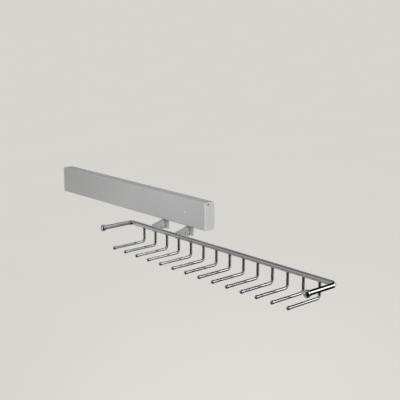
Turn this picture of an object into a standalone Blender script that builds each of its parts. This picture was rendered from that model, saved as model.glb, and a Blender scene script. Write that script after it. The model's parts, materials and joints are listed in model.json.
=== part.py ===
"""Side-mounted pull-out tie rack for a wardrobe.

A lipped steel channel screws to the wardrobe's side panel and is hidden by a
long cover. A slide member runs in the channel on two rows of caged balls. Two
hangers drop from it through the open underside of the cover and carry a
U-shaped tube frame with fourteen L-shaped hooks.

Frame: metres. The origin is on the panel, at the middle of the cover's back.
+X is the way the rack pulls out, +Y points into the panel and +Z is up. The
rack is modelled pulled out to its front stop.
"""
import math

import bmesh
import bpy
from mathutils import Matrix, Vector

# Gap left between pieces that touch.
GAP = 0.0003

# Cover and end caps.
COVER_LENGTH = 0.435
COVER_HEIGHT = 0.049
COVER_DEPTH = 0.021
COVER_WALL = 0.0012
COVER_LIP_DEPTH = 0.0055
COVER_CORNER_RADIUS = 0.0015
CAP_THICKNESS = 0.003
CAP_PLUG_LENGTH = 0.008
CAP_PLUG_WALL = 0.002
CAP_REAR_CORNER_RADIUS = 0.003
CAP_NOTCH_RADIUS = 0.0011
CAP_NOTCH_DEPTH = 0.0015
CAP_NOTCH_FROM_FRONT = 0.006
CAP_NOTCH_FROM_TOP = 0.0026
PLUG_FROM_FRONT_END = 0.053
PLUG_HEAD_RADIUS = 0.0026
PLUG_HEAD_HEIGHT = 0.0006
PLUG_STEM_RADIUS = 0.0015

# Wall channel and the slide member that runs in it.
CHANNEL_LENGTH = 0.410
CHANNEL_HEIGHT = 0.036
CHANNEL_DEPTH = 0.011
CHANNEL_WALL = 0.0015
CHANNEL_LIP_HEIGHT = 0.0048
MOUNT_HOLE_X = (-0.176, -0.048, 0.048, 0.176)
MOUNT_HOLE_RADIUS = 0.00225
MEMBER_LENGTH = 0.150
MEMBER_HEIGHT = 0.0246
MEMBER_BACK_Y = -0.0026
TRAVEL = 0.250
STOP_LENGTH = 0.0045

# Balls and cages.
BALL_RADIUS = 0.0025
BALL_ROW_Y = -0.0055
BALL_ROW_Z = 0.0144
BALL_PITCH = 0.018
BALLS_IN_ROW = 5
CAGE_LENGTH = 0.090
CAGE_THICKNESS = 0.001
CAGE_FRONT_Y = -0.0091
CAGE_BACK_Y = -0.0019
CAGE_X = 0.0625

# Cover clips.
CLIP_X = (-0.160, 0.0, 0.160)
CLIP_LENGTH = 0.014
CLIP_WALL = 0.0015

# Hangers, lugs and their fasteners.
HANGER_THICKNESS = 0.0025
HANGER_FLANGE_WIDTH = 0.0115
HANGER_TOP_Z = 0.009
HANGER_CHEEK_REACH = 0.017
HANGER_BEND_RADIUS = 0.0035
HANGER_X = {"front": 0.164, "rear": 0.097}
LUG_THICKNESS = 0.0025
LUG_HEIGHT_AT_RAIL = 0.012
LUG_RISE = 0.0054
LUG_BACK_Y = -0.0155
LUG_SCREW_Y = -0.0214
SCREW_SHANK_RADIUS = 0.002
SCREW_HOLE_RADIUS = 0.0024
SCREW_HEAD_RADIUS = 0.0038
SCREW_HEAD_HEIGHT = 0.0024
HANGER_SCREW_Z = 0.0045
HANGER_SCREW_LENGTH = 0.006
LUG_SCREW_LENGTH = 0.0105
NUT_ACROSS_FLATS = 0.007
NUT_THICKNESS = 0.003

# Frame, knobs and hooks.
TUBE_RADIUS = 0.004
TUBE_BEND_RADIUS = 0.009
RAIL_Y = -0.0465
RAIL_BELOW_COVER = 0.0124
REAR_ARM_X = 0.043
FRONT_ARM_X = 0.528
ARM_LENGTH = 0.058
KNOB_RADIUS = 0.006
KNOB_LENGTH = 0.008
HOOK_COUNT = 14
HOOK_PITCH = 0.032
FIRST_HOOK_X = 0.081
HOOK_WIRE_RADIUS = 0.0024
HOOK_DROP = 0.0285
HOOK_REACH = 0.070
HOOK_BEND_RADIUS = 0.006
TIP_LENGTH = 0.006
TIP_RADIUS = 0.003

# Places that follow from the dimensions above.
COVER_BOTTOM_Z = -COVER_HEIGHT / 2
COVER_FRONT_X = COVER_LENGTH / 2
RAIL_Z = COVER_BOTTOM_Z - RAIL_BELOW_COVER
MEMBER_X = TRAVEL / 2
HANGER_BACK_Y = -CHANNEL_DEPTH - GAP
HANGER_FRONT_Y = HANGER_BACK_Y - HANGER_THICKNESS
HANGER_BOTTOM_Z = RAIL_Z - LUG_HEIGHT_AT_RAIL / 2
LUG_INNER_FACE = HANGER_THICKNESS + GAP
RACE_RADIUS = BALL_RADIUS + GAP

# Turns that lay a drawing made in X and Y onto another plane.
ONTO_YZ = (math.pi / 2, 0.0, math.pi / 2)
ONTO_XZ = (math.pi / 2, 0.0, 0.0)
FLAT = (0.0, 0.0, 0.0)


def clear_scene():
    for old in list(bpy.data.objects):
        bpy.data.objects.remove(old, do_unlink=True)


def make_collection(name):
    collection = bpy.data.collections.new(name)
    bpy.context.scene.collection.children.link(collection)
    return collection


def make_material(name, colour, roughness, metallic):
    material = bpy.data.materials.new(name)
    material.use_nodes = True
    shader = material.node_tree.nodes["Principled BSDF"]
    shader.inputs["Base Color"].default_value = (*colour, 1.0)
    shader.inputs["Roughness"].default_value = roughness
    shader.inputs["Metallic"].default_value = metallic
    material.diffuse_color = (*colour, 1.0)
    return material


clear_scene()
PARTS = make_collection("pull_out_tie_rack")
CUTTERS = make_collection("cutters")

GREY_PAINT = make_material("grey_paint", (0.39, 0.40, 0.39), 0.45, 0.0)
GREY_PLASTIC = make_material("grey_plastic", (0.55, 0.56, 0.57), 0.5, 0.0)
ZINC_STEEL = make_material("zinc_steel", (0.60, 0.61, 0.62), 0.35, 1.0)
BALL_STEEL = make_material("ball_steel", (0.75, 0.75, 0.76), 0.12, 1.0)
BRASS_SHEET = make_material("brass_sheet", (0.70, 0.55, 0.28), 0.35, 1.0)
NATURAL_NYLON = make_material("natural_nylon", (0.80, 0.79, 0.74), 0.5, 0.0)
BLACK_RUBBER = make_material("black_rubber", (0.03, 0.03, 0.03), 0.8, 0.0)
CHROME = make_material("chrome", (0.78, 0.79, 0.80), 0.06, 1.0)


def make_carrier(name):
    """An empty on a slide's axis, the parent of what slides."""
    empty = bpy.data.objects.new(name, None)
    empty.location = (0.0, BALL_ROW_Y, 0.0)
    PARTS.objects.link(empty)
    bpy.context.view_layer.update()
    return empty


RACK_CARRIER = make_carrier("rack_carrier")
CAGE_CARRIER = make_carrier("cage_carrier")


def add_part(obj, material, carrier=None):
    """Gives a piece its material and its parent, leaving it where it is."""
    obj.data.materials.clear()
    obj.data.materials.append(material)
    if obj.type == "MESH":
        obj.data.shade_smooth()
        obj.data.set_sharp_from_angle(angle=math.radians(35))
    if carrier:
        obj.parent = carrier
        obj.matrix_parent_inverse = carrier.matrix_world.inverted()
    return obj


# Outlines and paths.

def arc(centre, radius, start, end, steps):
    """Points along an arc, with its angles in degrees."""
    points = []
    for step in range(steps + 1):
        angle = math.radians(start + (end - start) * step / steps)
        points.append((centre[0] + radius * math.cos(angle), centre[1] + radius * math.sin(angle)))
    return points


def circle(centre, radius, sides=16):
    return arc(centre, radius, 0.0, 360.0, sides)[:-1]


def rectangle(low, high):
    return [low, (high[0], low[1]), high, (low[0], high[1])]


def mirrored(upper):
    """Closes a half outline, drawn above the axis, with its mirror image below."""
    return upper + [(y, -z) for y, z in reversed(upper)]


def rounded_path(corners, radius, steps=6):
    """A path through the corners, with each inner corner turned at the radius."""
    points = [Vector(corners[0])]
    for before, corner, after in zip(corners, corners[1:], corners[2:]):
        corner = Vector(corner)
        towards_start = (Vector(before) - corner).normalized()
        towards_end = (Vector(after) - corner).normalized()
        centre = corner + (towards_start + towards_end) * radius
        for step in range(steps + 1):
            turn = math.pi / 2 * step / steps
            outwards = towards_end * math.cos(turn) + towards_start * math.sin(turn)
            points.append(centre - outwards * radius)
    points.append(Vector(corners[-1]))
    return points


# Ways of making a solid.

def extrude(name, outline, depth, place, turn, holes=()):
    """A flat outline, with holes, given a depth centred on its place."""
    curve = bpy.data.curves.new(name, "CURVE")
    curve.dimensions = "2D"
    curve.fill_mode = "BOTH"
    curve.extrude = depth / 2
    for loop in (outline, *holes):
        spline = curve.splines.new("POLY")
        spline.points.add(len(loop) - 1)
        for point, (u, v) in zip(spline.points, loop):
            point.co = (u, v, 0.0, 1.0)
        spline.use_cyclic_u = True
    obj = bpy.data.objects.new(name, curve)
    obj.location = place
    obj.rotation_euler = turn
    PARTS.objects.link(obj)
    return obj


def along_x(name, outline, low_x, high_x, holes=()):
    """Extrudes an outline drawn in Y and Z."""
    return extrude(name, outline, high_x - low_x, ((low_x + high_x) / 2, 0.0, 0.0), ONTO_YZ, holes)


def along_z(name, outline, low_z, high_z, holes=()):
    """Extrudes an outline drawn in X and Y."""
    return extrude(name, outline, high_z - low_z, (0.0, 0.0, (low_z + high_z) / 2), FLAT, holes)


def along_y(name, outline, low_y, high_y, holes=()):
    """Extrudes an outline drawn in X and Z."""
    return extrude(name, outline, high_y - low_y, (0.0, (low_y + high_y) / 2, 0.0), ONTO_XZ, holes)


def wire(name, path, radius, bevel_resolution=2):
    curve = bpy.data.curves.new(name, "CURVE")
    curve.dimensions = "3D"
    curve.bevel_depth = radius
    curve.bevel_resolution = bevel_resolution
    curve.use_fill_caps = True
    spline = curve.splines.new("POLY")
    spline.points.add(len(path) - 1)
    for point, place in zip(spline.points, path):
        point.co = (*place, 1.0)
    obj = bpy.data.objects.new(name, curve)
    PARTS.objects.link(obj)
    return obj


def turned(name, profile, steps=16):
    """Turns a profile of (radius, height) about Z. It runs down the outer side."""
    mesh = bpy.data.meshes.new(name)
    vertices = [(radius, 0.0, height) for radius, height in profile]
    edges = [(index, index + 1) for index in range(len(profile) - 1)]
    mesh.from_pydata(vertices, edges, [])
    obj = bpy.data.objects.new(name, mesh)
    PARTS.objects.link(obj)
    screw = obj.modifiers.new("turn", "SCREW")
    screw.steps = steps
    screw.render_steps = steps
    screw.use_merge_vertices = True
    screw.merge_threshold = 0.00001
    screw.use_smooth_shade = True
    return obj


def as_mesh(obj):
    """Replaces an object with its evaluated mesh, so that it can be cut or joined."""
    name = obj.name
    source = obj.data
    bpy.context.view_layer.update()
    depsgraph = bpy.context.evaluated_depsgraph_get()
    mesh = bpy.data.meshes.new_from_object(obj.evaluated_get(depsgraph))
    welder = bmesh.new()
    welder.from_mesh(mesh)
    bmesh.ops.remove_doubles(welder, verts=welder.verts, dist=0.00001)
    welder.to_mesh(mesh)
    welder.free()
    solid = bpy.data.objects.new(name + "_solid", mesh)
    solid.matrix_world = obj.matrix_world.copy()
    PARTS.objects.link(solid)
    bpy.data.objects.remove(obj, do_unlink=True)
    if isinstance(source, bpy.types.Curve):
        bpy.data.curves.remove(source)
    solid.name = name
    mesh.name = name
    return solid


def combine(target, other, operation):
    """Cuts the other object from the target, or joins it on, with a Boolean."""
    for collection in list(other.users_collection):
        collection.objects.unlink(other)
    CUTTERS.objects.link(other)
    other.hide_render = True
    other.display_type = "WIRE"
    modifier = target.modifiers.new(operation.lower(), "BOOLEAN")
    modifier.operation = operation
    modifier.object = other
    modifier.solver = "EXACT"


def drill(target, radius, start, end):
    """Cuts a round hole from one point to another."""
    axis = Vector(end) - Vector(start)
    bpy.ops.mesh.primitive_cylinder_add(vertices=16, radius=radius, depth=axis.length)
    cutter = bpy.context.active_object
    cutter.name = target.name + "_drill"
    cutter.location = (Vector(start) + Vector(end)) / 2
    cutter.rotation_euler = axis.to_track_quat("Z", "Y").to_euler()
    combine(target, cutter, "DIFFERENCE")


def copies(template, places):
    """One object at each named place, all with the template's evaluated mesh."""
    source = as_mesh(template)
    objects = []
    for name, place in places.items():
        obj = bpy.data.objects.new(name, source.data)
        obj.matrix_world = place
        PARTS.objects.link(obj)
        objects.append(obj)
    bpy.data.objects.remove(source, do_unlink=True)
    return objects


# The side that stays on the panel.

def build_cover():
    back = -GAP
    front = -COVER_DEPTH
    top = COVER_HEIGHT / 2
    radius = COVER_CORNER_RADIUS
    inner_front = front + COVER_WALL
    inner_top = top - COVER_WALL
    lip_end = front + COVER_LIP_DEPTH
    outline = [(back, top)]
    outline += arc((front + radius, top - radius), radius, 90, 180, 4)
    outline += arc((front + radius, radius - top), radius, 180, 270, 4)
    outline += [(lip_end, -top), (lip_end, -inner_top)]
    outline += [(inner_front, -inner_top), (inner_front, inner_top), (back, inner_top)]
    half = COVER_FRONT_X - CAP_THICKNESS - GAP
    cover = as_mesh(along_x("cover", outline, -half, half))
    plug_x = COVER_FRONT_X - PLUG_FROM_FRONT_END
    hole_radius = PLUG_STEM_RADIUS + GAP
    drill(cover, hole_radius, (plug_x, front - COVER_WALL, 0.0), (plug_x, inner_front + COVER_WALL, 0.0))
    add_part(cover, GREY_PAINT)


def build_cover_plug():
    """A domed button that closes the hole in the front of the cover."""
    stem_length = COVER_WALL + 3 * GAP
    profile = [(0.0, PLUG_HEAD_HEIGHT)]
    profile += [(PLUG_HEAD_RADIUS * 0.6, PLUG_HEAD_HEIGHT * 0.85)]
    profile += [(PLUG_HEAD_RADIUS, PLUG_HEAD_HEIGHT * 0.3), (PLUG_HEAD_RADIUS, 0.0)]
    profile += [(PLUG_STEM_RADIUS, 0.0), (PLUG_STEM_RADIUS, -stem_length), (0.0, -stem_length)]
    plug = turned("cover_plug", profile)
    plug.location = (COVER_FRONT_X - PLUG_FROM_FRONT_END, -COVER_DEPTH - GAP, 0.0)
    plug.rotation_euler = (math.pi / 2, 0.0, 0.0)
    add_part(plug, GREY_PLASTIC)


def cap_outline():
    top = COVER_HEIGHT / 2
    front = -COVER_DEPTH
    back = -GAP
    radius = COVER_CORNER_RADIUS
    rear = CAP_REAR_CORNER_RADIUS
    outline = [(back, top)]
    outline += arc((front + radius, top - radius), radius, 90, 180, 4)
    outline += arc((front + radius, radius - top), radius, 180, 270, 4)
    outline += arc((back - rear, rear - top), rear, 270, 360, 4)
    return outline


def build_end_cap(name, side):
    """An end plate with a hollow plug that fits into the cover. side is +1 at the front end."""
    outer_x = side * COVER_FRONT_X
    seat_x = outer_x - side * CAP_THICKNESS
    plate = along_x(name, cap_outline(), min(outer_x, seat_x), max(outer_x, seat_x))
    cap = as_mesh(plate)

    inset = COVER_WALL + GAP
    plug_front = -COVER_DEPTH + inset
    plug_back = -0.001
    plug_top = COVER_HEIGHT / 2 - inset
    wall = CAP_PLUG_WALL
    plug_outline = rectangle((plug_front, -plug_top), (plug_back, plug_top))
    pocket = rectangle((plug_front + wall, wall - plug_top), (plug_back - wall, plug_top - wall))
    root_x = seat_x + side * CAP_THICKNESS / 2
    end_x = seat_x - side * CAP_PLUG_LENGTH
    plug = along_x(name + "_plug", plug_outline, min(root_x, end_x), max(root_x, end_x), holes=[pocket])
    combine(cap, as_mesh(plug), "UNION")
    if side > 0:
        notch_y = -COVER_DEPTH + CAP_NOTCH_FROM_FRONT
        notch_z = COVER_HEIGHT / 2 - CAP_NOTCH_FROM_TOP
        bottom = (outer_x - CAP_NOTCH_DEPTH, notch_y, notch_z)
        drill(cap, CAP_NOTCH_RADIUS, bottom, (outer_x + CAP_NOTCH_DEPTH, notch_y, notch_z))
    add_part(cap, GREY_PLASTIC)


def race(face_z):
    """The groove that a ball row cuts in a flat face, from its front edge to its back."""
    middle = 90 if face_z > BALL_ROW_Z else 270
    half = math.degrees(math.acos(abs(face_z - BALL_ROW_Z) / RACE_RADIUS))
    if middle == 270:
        half = -half
    return arc((BALL_ROW_Y, BALL_ROW_Z), RACE_RADIUS, middle + half, middle - half, 5)


def build_wall_channel():
    top = CHANNEL_HEIGHT / 2
    front = -CHANNEL_DEPTH
    wall = CHANNEL_WALL
    lip_end = top - CHANNEL_LIP_HEIGHT
    upper = [(0.0, top), (front, top), (front, lip_end), (front + wall, lip_end), (front + wall, top - wall)]
    upper += race(top - wall)
    upper += [(-wall, top - wall)]
    half = CHANNEL_LENGTH / 2
    channel = as_mesh(along_x("wall_channel", mirrored(upper), -half, half))
    for x in MOUNT_HOLE_X:
        drill(channel, MOUNT_HOLE_RADIUS, (x, wall, 0.0), (x, -2 * wall, 0.0))
    add_part(channel, ZINC_STEEL)


def build_stop_buffer(name, side):
    """A rubber block, pressed into the channel, that the slide member runs against."""
    near_x = side * (MEMBER_X + MEMBER_LENGTH / 2 + GAP)
    far_x = near_x + side * STOP_LENGTH
    half_height = CHANNEL_HEIGHT / 2 - CHANNEL_WALL - GAP
    lip_end = CHANNEL_HEIGHT / 2 - CHANNEL_LIP_HEIGHT - GAP
    back = -CHANNEL_WALL - GAP
    shoulder = -CHANNEL_DEPTH + CHANNEL_WALL + GAP
    front = -CHANNEL_DEPTH
    upper = [(back, half_height), (shoulder, half_height), (shoulder, lip_end), (front, lip_end)]
    buffer = along_x(name, mirrored(upper), min(near_x, far_x), max(near_x, far_x))
    add_part(buffer, BLACK_RUBBER)


def build_cover_clip(name, x):
    """A nylon clip that grips the channel's top lip and holds the cover's top and front."""
    channel_top = CHANNEL_HEIGHT / 2 + GAP
    under_cover = COVER_HEIGHT / 2 - COVER_WALL - GAP
    hook_back = -CHANNEL_DEPTH - GAP
    hook_front = hook_back - CLIP_WALL
    hook_low = channel_top - CHANNEL_LIP_HEIGHT
    nose_front = -COVER_DEPTH + COVER_WALL + GAP
    nose_back = nose_front + CLIP_WALL
    nose_low = hook_low - CLIP_WALL
    back = -0.001
    outline = [(back, channel_top), (hook_back, channel_top), (hook_back, hook_low), (hook_front, hook_low)]
    outline += [(hook_front, channel_top), (nose_back, channel_top), (nose_back, nose_low)]
    outline += [(nose_front, nose_low), (nose_front, under_cover), (back, under_cover)]
    clip = along_x(name, outline, x - CLIP_LENGTH / 2, x + CLIP_LENGTH / 2)
    add_part(clip, NATURAL_NYLON)


# The ball cages.

def ball_xs():
    first = CAGE_X - BALL_PITCH * (BALLS_IN_ROW - 1) / 2
    return [first + BALL_PITCH * index for index in range(BALLS_IN_ROW)]


def build_ball_row(row, side):
    """A strip with a hole for each ball, and the balls. side is +1 for the upper row."""
    row_z = side * BALL_ROW_Z
    low = (CAGE_X - CAGE_LENGTH / 2, CAGE_FRONT_Y)
    high = (CAGE_X + CAGE_LENGTH / 2, CAGE_BACK_Y)
    holes = [circle((x, BALL_ROW_Y), RACE_RADIUS) for x in ball_xs()]
    half = CAGE_THICKNESS / 2
    cage = along_z(row + "_ball_cage", rectangle(low, high), row_z - half, row_z + half, holes)
    add_part(cage, BRASS_SHEET, CAGE_CARRIER)

    bpy.ops.mesh.primitive_uv_sphere_add(segments=12, ring_count=6, radius=BALL_RADIUS)
    template = bpy.context.active_object
    places = {}
    for number, x in enumerate(ball_xs(), start=1):
        places[f"{row}_ball_{number}"] = Matrix.Translation((x, BALL_ROW_Y, row_z))
    for ball in copies(template, places):
        add_part(ball, BALL_STEEL, CAGE_CARRIER)


# The rack that slides.

def hanger_screw_places(end):
    """Where the screws hold one hanger's flange: name to X and Z."""
    x = HANGER_X[end] + (HANGER_FLANGE_WIDTH + HANGER_THICKNESS) / 2
    return {
        end + "_hanger_upper_screw": (x, HANGER_SCREW_Z),
        end + "_hanger_lower_screw": (x, -HANGER_SCREW_Z),
    }


def build_slide_member():
    top = MEMBER_HEIGHT / 2
    wall = CHANNEL_WALL
    front = -CHANNEL_DEPTH
    upper = [(front, top)]
    upper += race(top)
    upper += [(MEMBER_BACK_Y, top), (MEMBER_BACK_Y, top - wall), (front + wall, top - wall)]
    half = MEMBER_LENGTH / 2
    member = as_mesh(along_x("slide_member", mirrored(upper), MEMBER_X - half, MEMBER_X + half))
    for end in HANGER_X:
        for x, z in hanger_screw_places(end).values():
            drill(member, SCREW_HOLE_RADIUS, (x, front - wall, z), (x, front + 2 * wall, z))
    add_part(member, ZINC_STEEL, RACK_CARRIER)


def sloping_top_z(y):
    """Height of the sloping top edge that a lug and its hanger's cheek share."""
    share = (y - RAIL_Y) / (LUG_BACK_Y - RAIL_Y)
    return RAIL_Z + LUG_HEIGHT_AT_RAIL / 2 + LUG_RISE * share


def build_hanger(end):
    """An angle plate: a tall flange on the slide member, and a cheek below the cover."""
    name = end + "_hanger"
    thick = HANGER_THICKNESS
    radius = HANGER_BEND_RADIUS
    web_x = HANGER_X[end]
    cheek_x = web_x + thick
    flange_x = web_x + HANGER_FLANGE_WIDTH
    cheek_y = HANGER_BACK_Y - HANGER_CHEEK_REACH
    foot_top_z = sloping_top_z(LUG_BACK_Y)
    outline = [(web_x, cheek_y)] + arc((web_x + radius, HANGER_BACK_Y - radius), radius, 180, 90, 4)
    outline += [(flange_x, HANGER_BACK_Y), (flange_x, HANGER_FRONT_Y)]
    outline += [(cheek_x, HANGER_FRONT_Y), (cheek_x, cheek_y)]
    foot = as_mesh(along_z(name, outline, HANGER_BOTTOM_Z, foot_top_z))

    inner_edge = web_x + radius
    strip_outline = rectangle((inner_edge, HANGER_BOTTOM_Z + thick), (flange_x, HANGER_TOP_Z))
    strip = as_mesh(along_y(name + "_strip", strip_outline, HANGER_FRONT_Y, HANGER_BACK_Y))
    combine(foot, strip, "UNION")

    beyond_y = cheek_y - thick
    slope = [(LUG_BACK_Y, foot_top_z), (LUG_BACK_Y, foot_top_z + thick)]
    slope += [(beyond_y, foot_top_z + thick), (beyond_y, sloping_top_z(beyond_y))]
    wedge = along_x(name + "_slope", slope, web_x - thick, cheek_x + thick)
    combine(foot, as_mesh(wedge), "DIFFERENCE")

    for x, z in hanger_screw_places(end).values():
        drill(foot, SCREW_HOLE_RADIUS, (x, HANGER_FRONT_Y - thick, z), (x, HANGER_BACK_Y + thick, z))
    near, far = ((x, LUG_SCREW_Y, RAIL_Z) for x in (web_x - thick, cheek_x + thick))
    drill(foot, SCREW_HOLE_RADIUS, near, far)
    add_part(foot, ZINC_STEEL, RACK_CARRIER)


def build_lug(end):
    """A tapered flat bar on edge, saddled onto the back of the rail."""
    saddle = TUBE_RADIUS + GAP
    outline = [(LUG_BACK_Y, sloping_top_z(LUG_BACK_Y)), (RAIL_Y, sloping_top_z(RAIL_Y))]
    outline += arc((RAIL_Y, RAIL_Z), saddle, 90, -90, 8)
    outline += [(RAIL_Y, HANGER_BOTTOM_Z), (LUG_BACK_Y, HANGER_BOTTOM_Z)]
    hole = circle((LUG_SCREW_Y, RAIL_Z), SCREW_HOLE_RADIUS)
    inner_x = HANGER_X[end] + LUG_INNER_FACE
    lug = along_x(end + "_lug", outline, inner_x, inner_x + LUG_THICKNESS, holes=[hole])
    add_part(lug, CHROME, RACK_CARRIER)


def pan_head_screw(length):
    """A screw that stands head up, with the underside of its head at the origin."""
    radius = SCREW_HEAD_RADIUS
    height = SCREW_HEAD_HEIGHT
    profile = [(0.0, height), (radius * 0.55, height * 0.92), (radius * 0.9, height * 0.6)]
    profile += [(radius, height * 0.2), (radius, 0.0), (SCREW_SHANK_RADIUS, 0.0)]
    profile += [(SCREW_SHANK_RADIUS, -length), (0.0, -length)]
    return turned("screw", profile, steps=12)


def build_hanger_screws():
    facing = Matrix.Rotation(math.pi / 2, 4, "X")
    head_y = HANGER_FRONT_Y - GAP
    places = {}
    for end in HANGER_X:
        for name, (x, z) in hanger_screw_places(end).items():
            places[name] = Matrix.Translation((x, head_y, z)) @ facing
    for screw in copies(pan_head_screw(HANGER_SCREW_LENGTH), places):
        add_part(screw, ZINC_STEEL, RACK_CARRIER)


def build_lug_fasteners():
    facing = Matrix.Rotation(math.pi / 2, 4, "Y")
    screw_places = {}
    nut_places = {}
    for end, web_x in HANGER_X.items():
        head_x = web_x + LUG_INNER_FACE + LUG_THICKNESS + GAP
        nut_x = web_x - NUT_THICKNESS / 2 - GAP
        screw_places[end + "_lug_screw"] = Matrix.Translation((head_x, LUG_SCREW_Y, RAIL_Z)) @ facing
        nut_places[end + "_lug_nut"] = Matrix.Translation((nut_x, LUG_SCREW_Y, RAIL_Z)) @ facing
    corner_radius = NUT_ACROSS_FLATS / 2 / math.cos(math.pi / 6)
    bore = circle((0.0, 0.0), SCREW_HOLE_RADIUS, sides=12)
    nut = extrude("nut", circle((0.0, 0.0), corner_radius, sides=6), NUT_THICKNESS, (0, 0, 0), FLAT, [bore])
    fasteners = copies(pan_head_screw(LUG_SCREW_LENGTH), screw_places) + copies(nut, nut_places)
    for fastener in fasteners:
        add_part(fastener, ZINC_STEEL, RACK_CARRIER)


def build_frame_tube():
    arm_end = RAIL_Y - ARM_LENGTH
    corners = [(REAR_ARM_X, arm_end, RAIL_Z), (REAR_ARM_X, RAIL_Y, RAIL_Z)]
    corners += [(FRONT_ARM_X, RAIL_Y, RAIL_Z), (FRONT_ARM_X, arm_end, RAIL_Z)]
    tube = wire("frame_tube", rounded_path(corners, TUBE_BEND_RADIUS), TUBE_RADIUS, bevel_resolution=4)
    add_part(tube, CHROME, RACK_CARRIER)


def build_knob(name, x):
    """A round button on a collar, at the end of an arm."""
    length = KNOB_LENGTH
    radius = KNOB_RADIUS
    profile = [(0.0, length), (radius * 0.45, length * 0.96), (radius * 0.8, length * 0.84)]
    profile += [(radius, length * 0.68), (radius, length * 0.54), (radius * 0.85, length * 0.45)]
    profile += [(radius * 0.62, length * 0.42), (radius * 0.62, length * 0.25)]
    profile += [(radius * 0.8, length * 0.22), (radius * 0.8, 0.0), (0.0, 0.0)]
    knob = turned(name, profile, steps=20)
    knob.location = (x, RAIL_Y - ARM_LENGTH - GAP, RAIL_Z)
    knob.rotation_euler = (math.pi / 2, 0.0, 0.0)
    add_part(knob, CHROME, RACK_CARRIER)


def build_hooks():
    """L-shaped wires that hang from the rail, each with a headed tip."""
    run_z = RAIL_Z - HOOK_DROP
    tip_y = RAIL_Y - HOOK_REACH + TIP_LENGTH
    wire_end = tip_y - TIP_LENGTH / 2
    corners = [(0.0, RAIL_Y, RAIL_Z - TUBE_RADIUS - GAP), (0.0, RAIL_Y, run_z), (0.0, wire_end, run_z)]
    hook = as_mesh(wire("hook", rounded_path(corners, HOOK_BEND_RADIUS, steps=5), HOOK_WIRE_RADIUS))

    profile = [(0.0, TIP_LENGTH), (TIP_RADIUS * 0.55, TIP_LENGTH * 0.94)]
    profile += [(TIP_RADIUS * 0.92, TIP_LENGTH * 0.78), (TIP_RADIUS, TIP_LENGTH * 0.6)]
    profile += [(TIP_RADIUS, TIP_LENGTH * 0.08), (TIP_RADIUS * 0.9, 0.0), (0.0, 0.0)]
    tip = turned("hook_tip", profile, steps=12)
    tip.location = (0.0, tip_y, run_z)
    tip.rotation_euler = (math.pi / 2, 0.0, 0.0)
    combine(hook, as_mesh(tip), "UNION")

    places = {}
    for index in range(HOOK_COUNT):
        places[f"hook_{index + 1:02d}"] = Matrix.Translation((FIRST_HOOK_X + HOOK_PITCH * index, 0.0, 0.0))
    for obj in copies(hook, places):
        add_part(obj, CHROME, RACK_CARRIER)


def build_panel_side():
    build_cover()
    build_cover_plug()
    build_end_cap("front_end_cap", 1)
    build_end_cap("rear_end_cap", -1)
    build_wall_channel()
    build_stop_buffer("front_stop_buffer", 1)
    build_stop_buffer("rear_stop_buffer", -1)
    for number, x in enumerate(CLIP_X, start=1):
        build_cover_clip(f"cover_clip_{number}", x)


def build_rack():
    build_slide_member()
    for end in HANGER_X:
        build_hanger(end)
        build_lug(end)
    build_hanger_screws()
    build_lug_fasteners()
    build_frame_tube()
    build_knob("front_knob", FRONT_ARM_X)
    build_knob("rear_knob", REAR_ARM_X)
    build_hooks()


build_panel_side()
build_ball_row("upper", 1)
build_ball_row("lower", -1)
build_rack()
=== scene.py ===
"""Looks of the side-mounted pull-out tie rack.

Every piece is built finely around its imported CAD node, in the same frame:
metres, origin on the panel behind the middle of the cover, +X the way the rack
pulls out, +Y into the panel and +Z up.
"""

import json
import math

import bmesh
import bpy
from mathutils import Matrix, Vector

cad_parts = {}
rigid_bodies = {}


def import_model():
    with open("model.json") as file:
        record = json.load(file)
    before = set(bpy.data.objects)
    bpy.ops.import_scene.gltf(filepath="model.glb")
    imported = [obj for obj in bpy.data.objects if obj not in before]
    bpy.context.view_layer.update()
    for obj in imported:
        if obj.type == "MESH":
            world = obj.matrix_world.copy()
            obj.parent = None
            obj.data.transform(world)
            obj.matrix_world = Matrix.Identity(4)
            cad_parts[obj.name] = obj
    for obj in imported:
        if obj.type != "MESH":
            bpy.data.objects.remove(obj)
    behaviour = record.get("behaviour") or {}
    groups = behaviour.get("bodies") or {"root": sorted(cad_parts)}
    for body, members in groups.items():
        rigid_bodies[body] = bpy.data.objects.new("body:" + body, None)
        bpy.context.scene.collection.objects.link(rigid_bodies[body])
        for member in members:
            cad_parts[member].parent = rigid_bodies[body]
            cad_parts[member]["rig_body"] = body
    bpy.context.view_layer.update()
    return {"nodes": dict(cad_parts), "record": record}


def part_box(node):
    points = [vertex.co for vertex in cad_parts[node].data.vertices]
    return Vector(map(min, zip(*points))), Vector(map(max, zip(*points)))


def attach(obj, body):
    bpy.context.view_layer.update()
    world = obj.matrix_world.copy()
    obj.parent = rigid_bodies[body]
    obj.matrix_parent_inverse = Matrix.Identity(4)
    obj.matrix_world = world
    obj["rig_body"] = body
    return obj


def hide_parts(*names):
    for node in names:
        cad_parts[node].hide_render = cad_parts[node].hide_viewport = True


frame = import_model()

MM = 0.001
MERGE_DISTANCE = 0.001 * MM
SHARP_ANGLE = math.radians(35)

# Sheet, plate and moulding sizes.
COVER_WALL = 1.2 * MM
COVER_CORNER = 1.5 * MM
BUTTON_HOLE_RADIUS = 1.8 * MM
CAP_PLATE = 3 * MM
CAP_EDGE = 0.9 * MM
CAP_NOTCH_RADIUS = 1.6 * MM
PLUG_WALL = 2 * MM
PLUG_DEPTH = 8 * MM
CHANNEL_WALL = 1.5 * MM
CHANNEL_FOLD = 1.3 * MM
PLATE = 2.5 * MM
PLATE_BEND = 3.5 * MM

# Round stock.
WIRE_RADIUS = 2.4 * MM
HOOK_BEND = 6.0 * MM
TIP_LENGTH = 6.0 * MM
TIP_RADIUS = 3.0 * MM
TUBE_BEND = 9.0 * MM

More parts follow.
